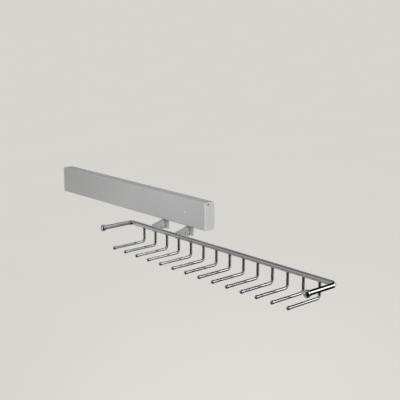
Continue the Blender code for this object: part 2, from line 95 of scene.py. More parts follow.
# Fasteners and balls.
THREAD_RADIUS = 2.0 * MM
THREAD_ROOT = 1.62 * MM
THREAD_PITCH = 0.7 * MM
HEAD_HEIGHT = 2.4 * MM
HOLE_RADIUS = 2.4 * MM
BALL_RADIUS = 2.5 * MM
RACE_RADIUS = 2.8 * MM

# The rail's line and size, and the names of what comes in rows, read from the CAD nodes.
TUBE_LOW, TUBE_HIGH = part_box("frame_tube")
TUBE_RADIUS = (TUBE_HIGH.z - TUBE_LOW.z) / 2
RAIL_Z = (TUBE_HIGH.z + TUBE_LOW.z) / 2
RAIL_Y = TUBE_HIGH.y - TUBE_RADIUS
HOOK_NAMES = sorted(name for name in frame["nodes"] if name.startswith("hook_"))
BALL_NAMES = sorted(name for name in frame["nodes"] if "_ball_" in name and name[-1].isdigit())


# Outlines, paths and rings.

def arc(centre, radius, start, end, steps):
    """Points along an arc, with its angles in degrees."""
    points = []
    for step in range(steps + 1):
        angle = math.radians(start + (end - start) * step / steps)
        across = radius * math.cos(angle)
        up = radius * math.sin(angle)
        points.append(Vector((centre[0] + across, centre[1] + up)))
    return points


def circle(centre, radius, sides=48):
    return arc(centre, radius, 0, 360, sides)[:-1]


def fillet(before, corner, after, radius, steps):
    """Points that round one corner of a path."""
    to_start = (before - corner).normalized()
    to_end = (after - corner).normalized()
    half = to_start.angle(to_end) / 2
    centre = corner + (to_start + to_end).normalized() * radius / math.sin(half)
    reach = radius / math.tan(half)
    first = corner + to_start * reach - centre
    last = corner + to_end * reach - centre
    turn = math.pi - 2 * half
    points = []
    for step in range(steps + 1):
        share = step / steps
        offset = first * math.sin((1 - share) * turn) + last * math.sin(share * turn)
        points.append(centre + offset / math.sin(turn))
    return points


def outline(corners, steps=6):
    """A closed outline through corners (u, v, radius), each rounded by its radius."""
    points = [Vector(corner[:2]) for corner in corners]
    loop = []
    for index, corner in enumerate(corners):
        if corner[2] > 0:
            following = points[(index + 1) % len(points)]
            loop += fillet(points[index - 1], points[index], following, corner[2], steps)
        else:
            loop.append(points[index])
    return loop


def rectangle(low, high, radius=0):
    """A rectangle between two opposite corners (u, v), with all its corners rounded."""
    return outline([
        (low[0], low[1], radius),
        (high[0], low[1], radius),
        (high[0], high[1], radius),
        (low[0], high[1], radius),
    ])


def rounded_path(corners, radius, steps):
    """An open path whose inner corners all turn at one radius."""
    points = [Vector(corner) for corner in corners]
    path = [points[0]]
    for before, corner, after in zip(points, points[1:], points[2:]):
        path += fillet(before, corner, after, radius, steps)
    path.append(points[-1])
    return path


def bar_rings(path, radii, across, sides):
    """Rings round a flat path. across is square to the path's plane."""
    rings = []
    for index, (point, radius) in enumerate(zip(path, radii)):
        ahead = path[min(index + 1, len(path) - 1)]
        behind = path[max(index - 1, 0)]
        inward = (ahead - behind).normalized().cross(across)
        ring = []
        for side in range(sides):
            angle = math.tau * side / sides
            ring.append(point + (inward * math.cos(angle) + across * math.sin(angle)) * radius)
        rings.append(ring)
    return rings


def turned_rings(profile, sides):
    """Rings about Z for a profile of (radius, height)."""
    rings = []
    for radius, height in profile:
        flat = circle((0, 0), radius, sides)
        rings.append([Vector((point.x, point.y, height)) for point in flat])
    return rings


def middle_x(name):
    """Where the middle of a CAD node lies along X."""
    low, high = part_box(name)
    return (low.x + high.x) / 2


# Meshes.

def make_object(name, work):
    """Turns a bmesh into an object, with its faces pointing out."""
    bmesh.ops.recalc_face_normals(work, faces=work.faces[:])
    mesh = bpy.data.meshes.new(name)
    work.to_mesh(mesh)
    work.free()
    obj = bpy.data.objects.new(name, mesh)
    bpy.context.scene.collection.objects.link(obj)
    return obj


def loft(name, rings):
    """A closed skin over rings of equal count. A ring without size becomes a point."""
    work = bmesh.new()
    rows = [[work.verts.new(point) for point in ring] for ring in rings]
    for row, following in zip(rows, rows[1:]):
        for index in range(len(row)):
            work.faces.new((row[index - 1], row[index], following[index], following[index - 1]))
    work.faces.new(rows[0])
    work.faces.new(rows[-1])
    bmesh.ops.remove_doubles(work, verts=work.verts[:], dist=MERGE_DISTANCE)
    return make_object(name, work)


def prism_mesh(loops, low, high):
    """A bmesh solid whose outline and holes are drawn in X and Y, from low to high in Z."""
    work = bmesh.new()
    edges = []
    for loop in loops:
        verts = [work.verts.new((point[0], point[1], low)) for point in loop]
        edges += [work.edges.new(pair) for pair in zip(verts, verts[1:] + verts[:1])]
    if len(loops) == 1:
        work.faces.new(work.verts[:])
    else:
        bmesh.ops.triangle_fill(work, edges=edges, use_beauty=True)
    grown = bmesh.ops.extrude_face_region(work, geom=work.faces[:])["geom"]
    lifted = [item for item in grown if isinstance(item, bmesh.types.BMVert)]
    bmesh.ops.translate(work, vec=(0, 0, high - low), verts=lifted)
    bmesh.ops.recalc_face_normals(work, faces=work.faces[:])
    return work


def soften(work, width, segments=2, chosen=None):
    """Rounds the sharp edges of a bmesh, or only those that chosen() picks."""
    edges = []
    for edge in work.edges:
        if len(edge.link_faces) == 2 and edge.calc_face_angle() > SHARP_ANGLE:
            if chosen is None or chosen(edge):
                edges.append(edge)
    bmesh.ops.bevel(work, geom=edges, offset=width, segments=segments, profile=0.5,
                    affect="EDGES", clamp_overlap=True)


# Turns a solid drawn in X and Y, and grown along Z, to grow along another axis.
GROW = {
    "x": Matrix(((0, 0, 1, 0), (1, 0, 0, 0), (0, 1, 0, 0), (0, 0, 0, 1))),
    "y": Matrix(((1, 0, 0, 0), (0, 0, 1, 0), (0, 1, 0, 0), (0, 0, 0, 1))),
    "z": Matrix.Identity(4),
}


def prism(name, axis, loops, low, high, edge=0.2 * MM, segments=2):
    """A solid grown along an axis, with softened edges."""
    work = prism_mesh(loops, low, high)
    if edge:
        soften(work, edge, segments)
    bmesh.ops.transform(work, matrix=GROW[axis], verts=work.verts[:])
    return make_object(name, work)


def baked_mesh(obj):
    """The object's mesh with its modifiers applied."""
    bpy.context.view_layer.update()
    depsgraph = bpy.context.evaluated_depsgraph_get()
    return bpy.data.meshes.new_from_object(obj.evaluated_get(depsgraph))


def replace_mesh(obj, mesh):
    name = obj.data.name
    old = obj.data
    obj.modifiers.clear()
    obj.data = mesh
    bpy.data.meshes.remove(old)
    mesh.name = name


def combine(target, other, operation):
    """Applies a Boolean with another object, which is used up."""
    modifier = target.modifiers.new("boolean", "BOOLEAN")
    modifier.operation = operation
    modifier.object = other
    modifier.solver = "EXACT"
    replace_mesh(target, baked_mesh(target))
    bpy.data.objects.remove(other, do_unlink=True)
    return target


def place(obj, matrix):
    """Moves the mesh itself, so the object stays unturned at the origin."""
    obj.data.transform(matrix)


# Finishing a piece.

def mark_wear(mesh):
    """Stores how tight each convex edge is, from 0 on flats and round stock to 1 on edges."""
    work = bmesh.new()
    work.from_mesh(mesh)
    tightest = [0.0] * len(work.verts)
    for edge in work.edges:
        if len(edge.link_faces) != 2 or not edge.is_convex:
            continue
        first, second = (face.calc_center_median() for face in edge.link_faces)
        curvature = edge.calc_face_angle() / max((first - second).length, MERGE_DISTANCE)
        for vert in edge.verts:
            tightest[vert.index] = max(tightest[vert.index], curvature)
    work.free()
    loose, tight = 600, 2200
    values = [min(1.0, max(0.0, (curve - loose) / (tight - loose))) for curve in tightest]
    attribute = mesh.attributes.new("wear", "FLOAT", "POINT")
    attribute.data.foreach_set("value", values)


def mark_heat_tint_and_painted_shade(mesh, heat_tint_and_painted_shade):
    """Stores, for each point, the heat tint at a weld, or the painted shade that darkens a hollow.

    heat_tint_and_painted_shade() gives 0 to 1 for a point.
    """
    attribute = mesh.attributes.new("heat_tint_and_painted_shade", "FLOAT", "POINT")
    attribute.data.foreach_set("value", [heat_tint_and_painted_shade(vert.co) for vert in mesh.vertices])


def finish_piece(obj, cad_name, heat_tint_and_painted_shade=None):
    """Gives a fine piece its shading, material, body and slot, in place of a CAD node."""
    slot = SLOT_OF_NODE[cad_name]
    obj.name = "fine_" + cad_name
    obj.data.name = obj.name
    obj.data.shade_smooth()
    obj.data.set_sharp_from_angle(angle=SHARP_ANGLE)
    weighted = obj.modifiers.new("weighted", "WEIGHTED_NORMAL")
    weighted.keep_sharp = True
    weighted.weight = 100
    replace_mesh(obj, baked_mesh(obj))
    mark_wear(obj.data)
    if heat_tint_and_painted_shade:
        mark_heat_tint_and_painted_shade(obj.data, heat_tint_and_painted_shade)
    obj.data.materials.clear()
    obj.data.materials.append(MATERIALS[slot])
    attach(obj, frame["nodes"][cad_name]["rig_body"])
    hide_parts(cad_name)


# Materials.

def node(tree, kind, inputs=None, **settings):
    """Adds a shader node. An input is a value, or the output socket to link to it."""
    made = tree.nodes.new(kind)
    for key, value in settings.items():
        setattr(made, key, value)
    for key, value in (inputs or {}).items():
        if isinstance(value, bpy.types.NodeSocket):
            tree.links.new(value, made.inputs[key])
        else:
            made.inputs[key].default_value = value
    return made


def noise(tree, scale, detail=3.0, stretch=None, roughness=0.5):
    """Noise in the object's own metres, as a 0 to 1 value."""
    where = node(tree, "ShaderNodeTexCoord").outputs["Object"]
    if stretch:
        mapping = node(tree, "ShaderNodeMapping", {"Vector": where, "Scale": stretch})
        where = mapping.outputs["Vector"]
    texture = node(tree, "ShaderNodeTexNoise", {
        "Vector": where, "Scale": scale, "Detail": detail, "Roughness": roughness,
    })
    return texture.outputs["Fac"]


def cells(tree, scale):
    """A flat random value for each cell of a Voronoi pattern."""
    where = node(tree, "ShaderNodeTexCoord").outputs["Object"]
    texture = node(tree, "ShaderNodeTexVoronoi", {"Vector": where, "Scale": scale})
    parts = node(tree, "ShaderNodeSeparateColor", {"Color": texture.outputs["Color"]})
    return parts.outputs["Red"]


def spread(tree, value, low, high, start=0.3, end=0.7):
    """Maps a pattern's useful range to low and high."""
    mapped = node(tree, "ShaderNodeMapRange", {
        "Value": value, "From Min": start, "From Max": end, "To Min": low, "To Max": high,
    })
    return mapped.outputs["Result"]


def multiply(tree, first, second):
    product = node(tree, "ShaderNodeMath", {0: first, 1: second}, operation="MULTIPLY")
    return product.outputs["Value"]


def attribute(tree, name):
    return node(tree, "ShaderNodeAttribute", attribute_name=name).outputs["Fac"]


def tint(tree, factor, first, second):
    """A colour between two, each a tuple or a socket."""
    mix = tree.nodes.new("ShaderNodeMix")
    mix.data_type = "RGBA"
    # A Mix node keeps its colour sockets at 6, 7 and 2, behind those of its other types.
    for socket, value in ((mix.inputs[6], first), (mix.inputs[7], second)):
        if isinstance(value, bpy.types.NodeSocket):
            tree.links.new(value, socket)
        else:
            socket.default_value = (*value, 1.0)
    tree.links.new(factor, mix.inputs[0])
    return mix.outputs[2]


def scaled(colour, factor):
    return tuple(channel * factor for channel in colour)


def relief(tree, layers):
    """Stacks bumps. Each layer is a height pattern and its depth in metres."""
    normal = None
    for height, depth in layers:
        inputs = {"Height": height, "Distance": depth, "Strength": 1.0}
        if normal:
            inputs["Normal"] = normal
        normal = node(tree, "ShaderNodeBump", inputs).outputs["Normal"]
    return normal


def new_material(name, build):
    """A material whose Principled shader takes the inputs that build() gives."""
    material = bpy.data.materials.new(name)
    material.use_nodes = True
    tree = material.node_tree
    shader = tree.nodes["Principled BSDF"]
    for key, value in build(tree).items():
        if isinstance(value, bpy.types.NodeSocket):
            tree.links.new(value, shader.inputs[key])
        else:
            shader.inputs[key].default_value = value
    return material


def powder_coat(tree):
    """Satin grey powder coat: orange peel, fine flecks and rubbed edges."""
    grey = (0.358, 0.366, 0.366)
    clouds = spread(tree, noise(tree, 11, 4), 0.0, 1.0)
    colour = tint(tree, clouds, scaled(grey, 0.965), scaled(grey, 1.03))
    flecks = spread(tree, noise(tree, 2600, 2), 0.0, 0.22, 0.55, 0.75)
    colour = tint(tree, flecks, colour, scaled(grey, 0.72))
    patches = spread(tree, noise(tree, 130, 4), 0.0, 0.5, 0.42, 0.62)
    rubbed = multiply(tree, attribute(tree, "wear"), patches)
    colour = tint(tree, rubbed, colour, scaled(grey, 1.32))
    peel = (noise(tree, 620, 2), 0.05 * MM)
    grain = (noise(tree, 2400, 2), 0.008 * MM)
    return {
        "Base Color": colour,
        "Roughness": spread(tree, noise(tree, 45, 5), 0.33, 0.43),
        "Normal": relief(tree, [peel, grain]),
    }


def moulded_plastic(tree):
    """Fine spark-textured moulding in a lighter grey, with painted shade, near black, inside its
    notch.
    """
    grey = (0.485, 0.495, 0.51)
    clouds = spread(tree, noise(tree, 60, 3), 0.0, 1.0)
    colour = tint(tree, clouds, scaled(grey, 0.97), scaled(grey, 1.03))
    patches = spread(tree, noise(tree, 180, 3), 0.1, 0.6)
    rubbed = multiply(tree, attribute(tree, "wear"), patches)
    colour = tint(tree, rubbed, colour, scaled(grey, 1.2))
    # Painted shade: the points inside the cap's notch are painted near black, as the shade in a
    # hollow.
    colour = tint(tree, attribute(tree, "heat_tint_and_painted_shade"), colour, scaled(grey, 0.03))
    sparks = (cells(tree, 3200), 0.006 * MM)
    waves = (noise(tree, 900, 3), 0.012 * MM)
    return {
        "Base Color": colour,
        "Roughness": spread(tree, noise(tree, 300, 4), 0.38, 0.52),
        "Normal": relief(tree, [sparks, waves]),
    }


def chrome(tree):
    """Bright plate: faint draw lines and smears, and a duller straw tint at the welds."""
    bright = (0.80, 0.81, 0.82)
    patches = spread(tree, noise(tree, 420, 4), 0.35, 1.0)
    heat = multiply(tree, attribute(tree, "heat_tint_and_painted_shade"), patches)
    smears = spread(tree, noise(tree, 70, 5), 0.0, 1.0)
    colour = tint(tree, smears, scaled(bright, 0.97), bright)
    colour = tint(tree, heat, colour, (0.60, 0.57, 0.52))
    gloss = spread(tree, noise(tree, 55, 6, roughness=0.65), 0.02, 0.06)
    dull = node(tree, "ShaderNodeMath", {0: heat, 1: 0.16, 2: gloss}, operation="MULTIPLY_ADD")
    waves = (noise(tree, 240, 2), 0.010 * MM)
    grain = (noise(tree, 5200, 1), 0.0006 * MM)
    return {
        "Base Color": colour,
        "Metallic": 1.0,
        "Roughness": dull.outputs["Value"],
        "Normal": relief(tree, [waves, grain]),
    }


def zinc_plate(tree):
    """Dull bluish zinc plate over rolled sheet, with streaks along the roll.

    The plate's dull bloom is why it is only part metal.
    """
    blue = (0.58, 0.60, 0.63)
    streaks = spread(tree, noise(tree, 26, 5, stretch=(1, 60, 60)), 0.0, 1.0)
    colour = tint(tree, streaks, scaled(blue, 0.86), scaled(blue, 1.08))
    spangle = spread(tree, cells(tree, 420), 0.0, 0.3, 0.0, 1.0)
    colour = tint(tree, spangle, colour, (0.64, 0.62, 0.55))
    patches = spread(tree, noise(tree, 200, 3), 0.2, 0.8)
    rubbed = multiply(tree, attribute(tree, "wear"), patches)
    colour = tint(tree, rubbed, colour, (0.78, 0.79, 0.80))
    roll_lines = (noise(tree, 60, 3, stretch=(1, 30, 30)), 0.008 * MM)
    grain = (noise(tree, 1800, 2), 0.004 * MM)
    return {
        "Base Color": colour,
        "Metallic": 0.45,
        "Roughness": spread(tree, noise(tree, 40, 5, stretch=(1, 40, 40)), 0.24, 0.42),
        "Normal": relief(tree, [roll_lines, grain]),
    }


def brass(tree):
    """Rolled brass strip with light tarnish."""
    yellow = (0.70, 0.53, 0.26)
    tarnish = spread(tree, noise(tree, 160, 5), 0.0, 0.6, 0.5, 0.75)
    colour = tint(tree, tarnish, yellow, (0.38, 0.25, 0.12))
    return {
        "Base Color": colour,
        "Metallic": 1.0,
        "Roughness": spread(tree, noise(tree, 90, 4, stretch=(1, 20, 20)), 0.22, 0.42),
        "Normal": relief(tree, [(noise(tree, 120, 3, stretch=(1, 25, 25)), 0.004 * MM)]),
    }


def bearing_steel(tree):
    """Polished balls with hairline wear."""
    steel = (0.74, 0.74, 0.75)
    bands = spread(tree, noise(tree, 900, 4), 0.0, 1.0)
    return {
        "Base Color": tint(tree, bands, scaled(steel, 0.93), steel),
        "Metallic": 1.0,
        "Roughness": spread(tree, noise(tree, 700, 5), 0.05, 0.16),
        "Normal": relief(tree, [(noise(tree, 2600, 2, stretch=(1, 6, 1)), 0.001 * MM)]),
    }


def nylon(tree):
    """Natural nylon, slightly uneven in tone."""
    white = (0.79, 0.78, 0.72)
    clouds = spread(tree, noise(tree, 220, 3), 0.0, 1.0)
    return {
        "Base Color": tint(tree, clouds, scaled(white, 0.93), white),
        "Roughness": spread(tree, noise(tree, 500, 3), 0.38, 0.52),
        "Subsurface Weight": 0.15,
        "Subsurface Scale": 1.0 * MM,
        "Normal": relief(tree, [(noise(tree, 1500, 2), 0.008 * MM)]),
    }


def rubber(tree):
    """Matt black rubber with a little dust."""
    black = (0.022, 0.022, 0.023)
    dust = spread(tree, noise(tree, 700, 5), 0.0, 0.5, 0.5, 0.8)
    return {
        "Base Color": tint(tree, dust, black, (0.09, 0.088, 0.083)),
        "Roughness": spread(tree, noise(tree, 400, 3), 0.68, 0.86),
        "Normal": relief(tree, [(noise(tree, 2200, 3), 0.02 * MM)]),
    }


MATERIALS = {
    "grey_paint": new_material("fine_paint", powder_coat),
    "grey_plastic": new_material("fine_plastic", moulded_plastic),
    "chrome": new_material("fine_chrome", chrome),
    "zinc_steel": new_material("fine_zinc", zinc_plate),
    "brass_sheet": new_material("fine_brass", brass),
    "ball_steel": new_material("fine_ball_steel", bearing_steel),
    "natural_nylon": new_material("fine_nylon", nylon),
    "black_rubber": new_material("fine_rubber", rubber),
}
SLOT_OF_NODE = {part["node"]: part["material_slot"] for part in frame["record"]["subparts"]}


# The side that stays on the panel.

def build_cover():
    """The long C-section, open below, with its hole for the button."""
    low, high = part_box("cover")
    lip_end = low.y + 5.5 * MM
    inner = COVER_CORNER - COVER_WALL
    end = COVER_WALL * 0.3
    hole_depth = 3 * MM
    section = outline([
        (high.y, high.z, end),
        (low.y, high.z, COVER_CORNER),
        (low.y, low.z, COVER_CORNER),
        (lip_end, low.z, end),
        (lip_end, low.z + COVER_WALL, end),
        (low.y + COVER_WALL, low.z + COVER_WALL, inner),
        (low.y + COVER_WALL, high.z - COVER_WALL, inner),
        (high.y, high.z - COVER_WALL, end),
    ], steps=8)
    cover = prism("cover", "x", [section], low.x, high.x, edge=0.15 * MM)
    hole = circle((middle_x("cover_plug"), 0), BUTTON_HOLE_RADIUS)
    drill = prism("drill", "y", [hole], low.y - MM, low.y + hole_depth, edge=0)
    combine(cover, drill, "DIFFERENCE")
    finish_piece(cover, "cover")


def build_cover_plug():
    """A domed button with a fine ring and a split stem."""
    low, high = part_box("cover_plug")
    radius = (high.x - low.x) / 2
    depth = high.y - low.y
    head = 0.6 * MM
    stem = 1.5 * MM
    stem_end = 1.2 * MM
    tip = head - depth
    profile = [
        (0, head),
        (radius * 0.35, head * 0.97),
        (radius * 0.6, head * 0.86),
        (radius * 0.66, head * 0.7),
        (radius * 0.72, head * 0.8),
        (radius * 0.88, head * 0.62),
        (radius, head * 0.25),
        (radius, 0),
        (stem, 0),
        (stem, tip + 0.3 * MM),
        (stem_end, tip),
        (0, tip),
    ]
    plug = loft("cover_plug", turned_rings(profile, 48))
    slit_loop = rectangle((-0.2 * MM, -3 * MM), (0.2 * MM, 3 * MM))
    slit = prism("slit", "z", [slit_loop], -depth, -0.3 * MM, edge=0)
    combine(plug, slit, "DIFFERENCE")
    turn = Matrix.Rotation(math.pi / 2, 4, "X")
    place(plug, Matrix.Translation((middle_x("cover_plug"), low.y + head, 0)) @ turn)
    finish_piece(plug, "cover_plug")


def build_end_cap(name, side):
    """An end plate with a rounded rim and a ribbed hollow plug. side is +1 at the front."""
    low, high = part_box(name)
    outer_x = high.x if side > 0 else low.x
    seat_x = outer_x - side * CAP_PLATE
    plate_outline = outline([
        (high.y, high.z, 1.2 * MM),
        (low.y, high.z, COVER_CORNER),
        (low.y, low.z, COVER_CORNER),
        (high.y, low.z, 3 * MM),
    ], steps=8)
    work = prism_mesh([plate_outline], min(outer_x, seat_x), max(outer_x, seat_x))

    def on_outer_face(edge):
        return all(abs(vert.co.z - outer_x) < MERGE_DISTANCE for vert in edge.verts)

    soften(work, CAP_EDGE, 6, on_outer_face)
    bmesh.ops.transform(work, matrix=GROW["x"], verts=work.verts[:])
    cap = make_object(name, work)

    inset = COVER_WALL + 0.3 * MM
    plug_low = (low.y + inset, low.z + inset)
    plug_high = (high.y - 0.7 * MM, high.z - inset)
    pocket_low = (plug_low[0] + PLUG_WALL, plug_low[1] + PLUG_WALL)
    pocket_high = (plug_high[0] - PLUG_WALL, plug_high[1] - PLUG_WALL)
    end_x = seat_x - side * PLUG_DEPTH
    root_x = seat_x + side * CAP_PLATE / 2
    rim = rectangle(plug_low, plug_high, MM)
    pocket = rectangle(pocket_low, pocket_high, 0.6 * MM)
    plug = prism("plug", "x", [rim, pocket], min(root_x, end_x), max(root_x, end_x), edge=0.25 * MM)
    combine(cap, plug, "UNION")

    half_rib = 0.6 * MM
    rib_end = end_x + side * 3 * MM
    for rib_z in (-11 * MM, 0, 11 * MM):
        rib_loop = rectangle(
            (plug_low[0] + PLUG_WALL / 2, rib_z - half_rib),
            (plug_high[0] - PLUG_WALL / 2, rib_z + half_rib),
        )
        rib = prism("rib", "x", [rib_loop], min(root_x, rib_end), max(root_x, rib_end), edge=0)
        combine(cap, rib, "UNION")
    if side < 0:
        finish_piece(cap, name)
        return

    # Only the front plate has the small notch, with painted shade inside it.
    notch_depth = 2.6 * MM
    middle = Vector((outer_x, low.y + 6 * MM, high.z - 2.6 * MM))
    profile = [
        (0, MM),
        (CAP_NOTCH_RADIUS, MM),
        (CAP_NOTCH_RADIUS, -0.1 * MM),
        (CAP_NOTCH_RADIUS, -notch_depth),
        (0, -notch_depth),
    ]
    notch = loft("notch", turned_rings(profile, 48))
    place(notch, Matrix.Translation(middle) @ Matrix.Rotation(math.pi / 2, 4, "Y"))
    combine(cap, notch, "DIFFERENCE")

    # Painted shade: picks the points inside the notch, which the plastic paints near black.
    def painted_notch_shade(point):
        reach = point - middle
        return float(reach.x < -0.05 * MM and reach.yz.length < CAP_NOTCH_RADIUS + 0.1 * MM)

    finish_piece(cap, name, painted_notch_shade)


def race(face_z, row_y, row_z):
    """The groove that a row of balls needs in a flat face, from its front edge to its back."""
    middle = 90 if face_z > row_z else -90
    half = math.degrees(math.acos(abs(face_z - row_z) / RACE_RADIUS))
    if middle < 0:
        half = -half
    return arc((row_y, row_z), RACE_RADIUS, middle + half, middle - half, 10)


def mirrored(upper):
    """The whole outline, from the half above Z = 0."""
    return upper + [Vector((point[0], -point[1])) for point in reversed(upper)]


def ball_row(side):
    """Middle Y and Z of a row of balls. side is +1 for the upper row."""
    low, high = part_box("upper_ball_1" if side > 0 else "lower_ball_1")
    return (low.y + high.y) / 2, (low.z + high.z) / 2


def rounded_corner(y, z, radius, towards_start, towards_end):
    """A fillet at one corner, given by the directions of its two sides."""
    corner = Vector((y, z))
    return fillet(corner + Vector(towards_start), corner, corner + Vector(towards_end), radius, 6)


def build_wall_channel():
    """The lipped channel, folded from sheet, with countersunk screw holes."""
    low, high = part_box("wall_channel")
    row_y, row_z = ball_row(1)
    wall = CHANNEL_WALL
    lip_end = high.z - 4.8 * MM
    up, down, back, out = (0, 1), (0, -1), (1, 0), (-1, 0)
    upper = rounded_corner(high.y, high.z, CHANNEL_FOLD, down, out)
    upper += rounded_corner(low.y, high.z, CHANNEL_FOLD, back, down)
    upper += rounded_corner(low.y, lip_end, 0.35 * MM, up, back)
    upper += rounded_corner(low.y + wall, lip_end, 0.35 * MM, out, up)
    upper += rounded_corner(low.y + wall, high.z - wall, 0.3 * MM, down, back)
    upper += race(high.z - wall, row_y, row_z)
    upper += rounded_corner(high.y - wall, high.z - wall, 0.3 * MM, out, down)
    # The half outline starts on the back face, so the other half closes it there.
    channel = prism("wall_channel", "x", [mirrored(upper)], low.x, high.x, edge=0.12 * MM)
    head, shank, reach = 5.3 * MM, 2.25 * MM, 3 * MM
    profile = [(0, reach), (head, reach), (shank, -0.1 * MM), (shank, -reach), (0, -reach)]
    sink_y = high.y - wall / 2 - 0.6 * MM
    turn = Matrix.Rotation(math.pi / 2, 4, "X")
    for hole_x in (-176 * MM, -48 * MM, 48 * MM, 176 * MM):
        sink = loft("sink", turned_rings(profile, 48))
        place(sink, Matrix.Translation((hole_x, sink_y, 0)) @ turn)
        combine(channel, sink, "DIFFERENCE")
    finish_piece(channel, "wall_channel")


def build_slide_member():
    """The inner C-section, with a race in each flange."""
    low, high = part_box("slide_member")
    row_y, row_z = ball_row(1)
    wall = CHANNEL_WALL
    up, down, back, out = (0, 1), (0, -1), (1, 0), (-1, 0)
    upper = rounded_corner(low.y, high.z, 0.6 * MM, down, back)
    upper += race(high.z, row_y, row_z)
    upper += rounded_corner(high.y, high.z, 0.35 * MM, out, down)
    upper += rounded_corner(high.y, high.z - wall, 0.35 * MM, up, out)
    upper += rounded_corner(low.y + wall, high.z - wall, 0.3 * MM, back, down)
    member = prism("slide_member", "x", [mirrored(upper)], low.x, high.x, edge=0.15 * MM)
    finish_piece(member, "slide_member")


def build_stop_buffer(name, side):
    """A rubber block with two ribs on the face that takes the knock."""
    low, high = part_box(name)
    row_y = ball_row(1)[0]
    shoulder = low.y + 1.8 * MM
    lip_end = high.z - 3.3 * MM
    section = outline([
        (high.y, high.z, 0.6 * MM), (shoulder, high.z, 0.4 * MM), (shoulder, lip_end, 0.3 * MM),
        (low.y, lip_end, 0.5 * MM), (low.y, -lip_end, 0.5 * MM), (shoulder, -lip_end, 0.3 * MM),
        (shoulder, low.z, 0.4 * MM), (high.y, low.z, 0.6 * MM),
    ])
    inner = low.x if side > 0 else high.x
    face = inner + side * 0.9 * MM
    far = high.x if side > 0 else low.x
    block = prism(name, "x", [section], min(face, far), max(face, far), edge=0.4 * MM, segments=3)
    for rib_z in (-6 * MM, 6 * MM):
        path = [Vector((face, row_y - 3.5 * MM, rib_z)), Vector((face, row_y + 2.2 * MM, rib_z))]
        rib = loft("rib", bar_rings(path, [0.85 * MM] * 2, Vector((0, 0, 1)), 24))
        combine(block, rib, "UNION")
    finish_piece(block, name)


def build_cover_clip(name):
    """A nylon clip between the channel's top lip and the cover."""
    low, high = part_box(name)
    channel_low, channel_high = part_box("wall_channel")
    wall = 1.5 * MM
    gap = 0.3 * MM
    channel_top = channel_high.z + gap
    hook_back = channel_low.y - gap
    hook_low = channel_top - 4.8 * MM
    section = outline([
        (high.y, channel_top, 0.3 * MM),
        (hook_back, channel_top, 0.3 * MM),
        (hook_back, hook_low, 0.3 * MM),
        (hook_back - wall, hook_low, 0.5 * MM),
        (hook_back - wall, channel_top, 1.0 * MM),
        (low.y + wall, channel_top, 1.0 * MM),
        (low.y + wall, low.z, 0.3 * MM),
        (low.y, low.z, 0.6 * MM),
        (low.y, high.z, 0.9 * MM),
        (high.y, high.z, 0.4 * MM),
    ])
    clip = prism(name, "x", [section], low.x, high.x, edge=0.22 * MM, segments=3)
    half_window = 4 * MM
    window_loop = rectangle(
        (middle_x(name) - half_window, -17.5 * MM),
        (middle_x(name) + half_window, -4 * MM),
        MM,
    )
    window = prism("window", "z", [window_loop], channel_top + wall, high.z + MM, edge=0)
    combine(clip, window, "DIFFERENCE")
    finish_piece(clip, name)


# Balls and cages.

def build_ball_cage(name, side):
    """A brass strip with a pressed rim round each ball hole."""
    low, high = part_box(name)
    row_y, row_z = ball_row(side)
    row = name.split("_")[0]
    xs = [middle_x(ball) for ball in BALL_NAMES if ball.startswith(row)]
    strip = rectangle((low.x, low.y), (high.x, high.y), 1.2 * MM)
    holes = [circle((x, row_y), RACE_RADIUS) for x in xs]
    cage = prism(name, "z", [strip, *holes], low.z, high.z, edge=0.12 * MM)
    half = (high.z - low.z) / 2
    section = [
        (RACE_RADIUS - 0.1 * MM, half + 0.2 * MM),
        (RACE_RADIUS + 0.35 * MM, half + 0.2 * MM),
        (RACE_RADIUS + 0.65 * MM, half - 0.15 * MM),
    ]
    section += [(radius, -height) for radius, height in reversed(section)]
    for x in xs:
        rim = loft_ring("rim", turned_rings(section, 48))
        place(rim, Matrix.Translation((x, row_y, row_z)))
        combine(cage, rim, "UNION")
    finish_piece(cage, name)


def loft_ring(name, rings):
    """A closed ring-shaped skin: the last ring joins the first."""
    work = bmesh.new()
    rows = [[work.verts.new(point) for point in ring] for ring in rings]
    for number, row in enumerate(rows):
        before = rows[number - 1]
        for index in range(len(row)):
            work.faces.new((before[index - 1], before[index], row[index], row[index - 1]))
    return make_object(name, work)


def build_ball(name):
    """A ball made from an even grid of quads."""
    low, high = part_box(name)
    work = bmesh.new()
    bmesh.ops.create_cube(work, size=1.0)
    bmesh.ops.subdivide_edges(work, edges=work.edges[:], cuts=11, use_grid_fill=True)
    for vert in work.verts:
        vert.co = vert.co.normalized() * BALL_RADIUS + (low + high) / 2
    finish_piece(make_object(name, work), name)


# The rack that slides.

